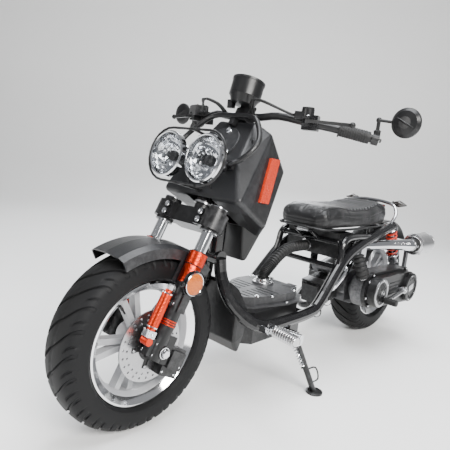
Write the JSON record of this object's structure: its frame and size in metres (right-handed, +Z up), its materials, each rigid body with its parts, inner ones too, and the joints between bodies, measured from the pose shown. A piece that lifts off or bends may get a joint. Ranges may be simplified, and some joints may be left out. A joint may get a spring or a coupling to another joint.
{
  "type": "moped scooter",
  "caption": "Step-through moped with an exposed tube frame, twin round headlights, fat tyres, a black ribbed seat and a swinging engine unit; it rests on its side stand.",
  "frame": {"origin": "on the ground, at the centre of the bounding box in length and width", "axes": "+X forward, +Y to the rider's left, +Z up; the side stand is down and the steering is straight"},
  "size_m": [1.77, 0.928, 0.9612],
  "materials": {
    "frame_paint": "satin black paint",
    "body_plastic": "matte moulded charcoal",
    "black_plastic": "satin black",
    "floor_plastic": "grained grey",
    "orange_reflector": "prismatic, glossy",
    "amber_reflector": "prismatic, glossy",
    "red_lamp": "clear tinted",
    "clear_lens": "clear, glossy",
    "chrome": "polished",
    "black_metal": "satin black",
    "red_anodised": "anodised, satin",
    "rim_alloy": "polished lip, painted spokes",
    "steel": "brushed",
    "tyre_rubber": "moulded tread",
    "grip_rubber": "matte ribbed",
    "seat_leather": "black ribbed vinyl",
    "casting": "cast, matte",
    "filter_steel": "brushed",
    "spring_paint": "gloss red"
  },
  "bodies": {
    "chassis": {"frame_tubes": "frame_paint", "front_fascia": "body_plastic", "front_box": "body_plastic", "side_reflectors": "orange_reflector", "guards": "black_metal", "headlights": "chrome", "headlight_lenses": "clear_lens", "floor_pan": "black_plastic", "floor_cover": "floor_plastic", "fuel_tank": "black_plastic", "filler_hose": "grip_rubber", "seat_box": "black_plastic", "tail_rack": "steel", "tail_lamps": "red_lamp", "chassis_bolts": "steel", "stand_spring": "steel"},
    "steering": {"triple_clamp": "black_metal", "stanchions": "chrome", "handlebar": "black_metal", "gauge_pod": "black_plastic", "controls_left": "black_plastic", "controls_right": "black_plastic", "grip_left": "grip_rubber", "cockpit_cables": "grip_rubber"},
    "fork_lower": {"fork_legs": "black_metal", "fork_collars": "red_anodised", "front_fender": "body_plastic", "fork_reflectors": "amber_reflector", "brake_caliper": "black_metal"},
    "front_wheel": {"front_tyre": "tyre_rubber", "front_rim": "rim_alloy", "brake_disc": "steel"},
    "throttle": {"throttle_grip": "grip_rubber"},
    "lever_left": {"brake_lever_left": "black_metal"},
    "lever_right": {"brake_lever_right": "black_metal"},
    "mirror_arm_left": {"mirror_left": "black_plastic"},
    "mirror_arm_right": {"mirror_right": "black_plastic"},
    "starter": {"starter_button": "red_lamp"},
    "horn": {"horn_button": "amber_reflector"},
    "key": {"ignition_key": "steel"},
    "seat_cushion": {"seat": "seat_leather"},
    "cap": {"fuel_cap": "black_plastic"},
    "peg_left": {"foot_peg_left": "steel"},
    "peg_right": {"foot_peg_right": "steel"},
    "stand": {"side_stand": "black_metal"},
    "swing_unit": {"crankcase": "casting", "cylinder_block": "casting", "belt_case": "casting", "belt_cover": "black_plastic", "belt_drive": "casting", "intake": "chrome", "air_filter": "filter_steel", "muffler": "black_metal"},
    "kick": {"kick_lever": "steel"},
    "rear_wheel": {"rear_tyre": "tyre_rubber", "rear_rim": "rim_alloy"},
    "shock_upper": {"shock_body": "steel", "shock_spring": "spring_paint"},
    "shock_lower": {"shock_rod": "steel"}
  },
  "joints": [
    {"name": "steering_turn", "type": "hinge", "parent": "chassis", "child": "steering", "pos_m": [0.41813, 0, 0.64895], "axis": [-0.4509, 0, 0.8926], "range_deg": [-38, 38]},
    {"name": "fork_slide", "type": "slide", "parent": "steering", "child": "fork_lower", "axis": [-0.4509, 0, 0.8926], "range_m": [-0.02, 0.045], "stiffness_N_per_m": 12000},
    {"name": "front_wheel_spin", "type": "hinge", "parent": "fork_lower", "child": "front_wheel", "pos_m": [0.647, 0, 0.238], "axis": [0, 1, 0], "continuous": true},
    {"name": "throttle_turn", "type": "hinge", "parent": "steering", "child": "throttle", "pos_m": [0.18604, -0.359, 0.8131], "axis": [-0.5271, -0.8329, -0.1687], "range_deg": [0, 70], "stiffness_Nm_per_rad": 0.05},
    {"name": "brake_lever_left_pull", "type": "hinge", "parent": "steering", "child": "lever_left", "pos_m": [0.31604, 0.218, 0.8421], "axis": [0, 0, 1], "range_deg": [0, 18], "stiffness_Nm_per_rad": 1},
    {"name": "brake_lever_right_pull", "type": "hinge", "parent": "steering", "child": "lever_right", "pos_m": [0.31604, -0.218, 0.8421], "axis": [0, 0, -1], "range_deg": [0, 18], "stiffness_Nm_per_rad": 1},
    {"name": "mirror_left_turn", "type": "hinge", "parent": "steering", "child": "mirror_arm_left", "pos_m": [0.18921, 0.354, 0.83], "axis": [0, 0, 1], "range_deg": [-25, 25]},
    {"name": "mirror_right_turn", "type": "hinge", "parent": "steering", "child": "mirror_arm_right", "pos_m": [0.18921, -0.354, 0.83], "axis": [0, 0, 1], "range_deg": [-25, 25]},
    {"name": "starter_press", "type": "slide", "parent": "steering", "child": "starter", "axis": [0.9135, -0.4067, 0], "range_m": [0, 0.0025], "stiffness_N_per_m": 400},
    {"name": "horn_press", "type": "slide", "parent": "steering", "child": "horn", "axis": [0.9135, 0.4067, 0], "range_m": [0, 0.0025], "stiffness_N_per_m": 400},
    {"name": "key_turn", "type": "hinge", "parent": "chassis", "child": "key", "pos_m": [0.28619, 0.074, 0.76155], "axis": [-0.4509, 0, 0.8926], "range_deg": [0, 90]},
    {"name": "seat_lift", "type": "hinge", "parent": "chassis", "child": "seat_cushion", "pos_m": [-0.07, 0, 0.494], "axis": [0, 1, 0], "range_deg": [0, 75]},
    {"name": "cap_turn", "type": "hinge", "parent": "chassis", "child": "cap", "pos_m": [-0.1803, -0.06, 0.47], "axis": [0, 0, 1], "range_deg": [0, 90]},
    {"name": "peg_left_fold", "type": "hinge", "parent": "chassis", "child": "peg_left", "pos_m": [0.303, 0.178, 0.248], "axis": [1, 0, 0], "range_deg": [0, 80]},
    {"name": "peg_right_fold", "type": "hinge", "parent": "chassis", "child": "peg_right", "pos_m": [0.303, -0.178, 0.248], "axis": [-1, 0, 0], "range_deg": [0, 80]},
    {"name": "stand_fold", "type": "hinge", "parent": "chassis", "child": "stand", "pos_m": [0.152, 0.168, 0.192], "axis": [0, 1, 0], "range_deg": [0, 85], "deforming": ["stand_spring"]},
    {"name": "engine_swing", "type": "hinge", "parent": "chassis", "child": "swing_unit", "pos_m": [-0.25, 0, 0.33], "axis": [0, 1, 0], "range_deg": [-2, 3], "stiffness_Nm_per_rad": 9000},
    {"name": "kick_turn", "type": "hinge", "parent": "swing_unit", "child": "kick", "pos_m": [-0.565, 0.2, 0.248], "axis": [0, 1, 0], "range_deg": [0, 50], "stiffness_Nm_per_rad": 2},
    {"name": "rear_wheel_spin", "type": "hinge", "parent": "swing_unit", "child": "rear_wheel", "pos_m": [-0.643, 0, 0.242], "axis": [0, 1, 0], "continuous": true},
    {"name": "shock_turn", "type": "hinge", "parent": "chassis", "child": "shock_upper", "pos_m": [-0.56, 0.112, 0.508], "axis": [0, 1, 0], "range_deg": [-1.8, 2.6]},
    {"name": "shock_slide", "type": "slide", "parent": "shock_upper", "child": "shock_lower", "axis": [-0.4244, 0, -0.9055], "range_m": [-0.0188, 0.0126], "deforming": ["shock_spring"]}
  ],
  "couplings": [
    {"joint": "shock_turn", "follows": "engine_swing", "ratio": 0.8325},
    {"joint": "shock_slide", "follows": "engine_swing", "m_per_rad": -0.3563}
  ]
}
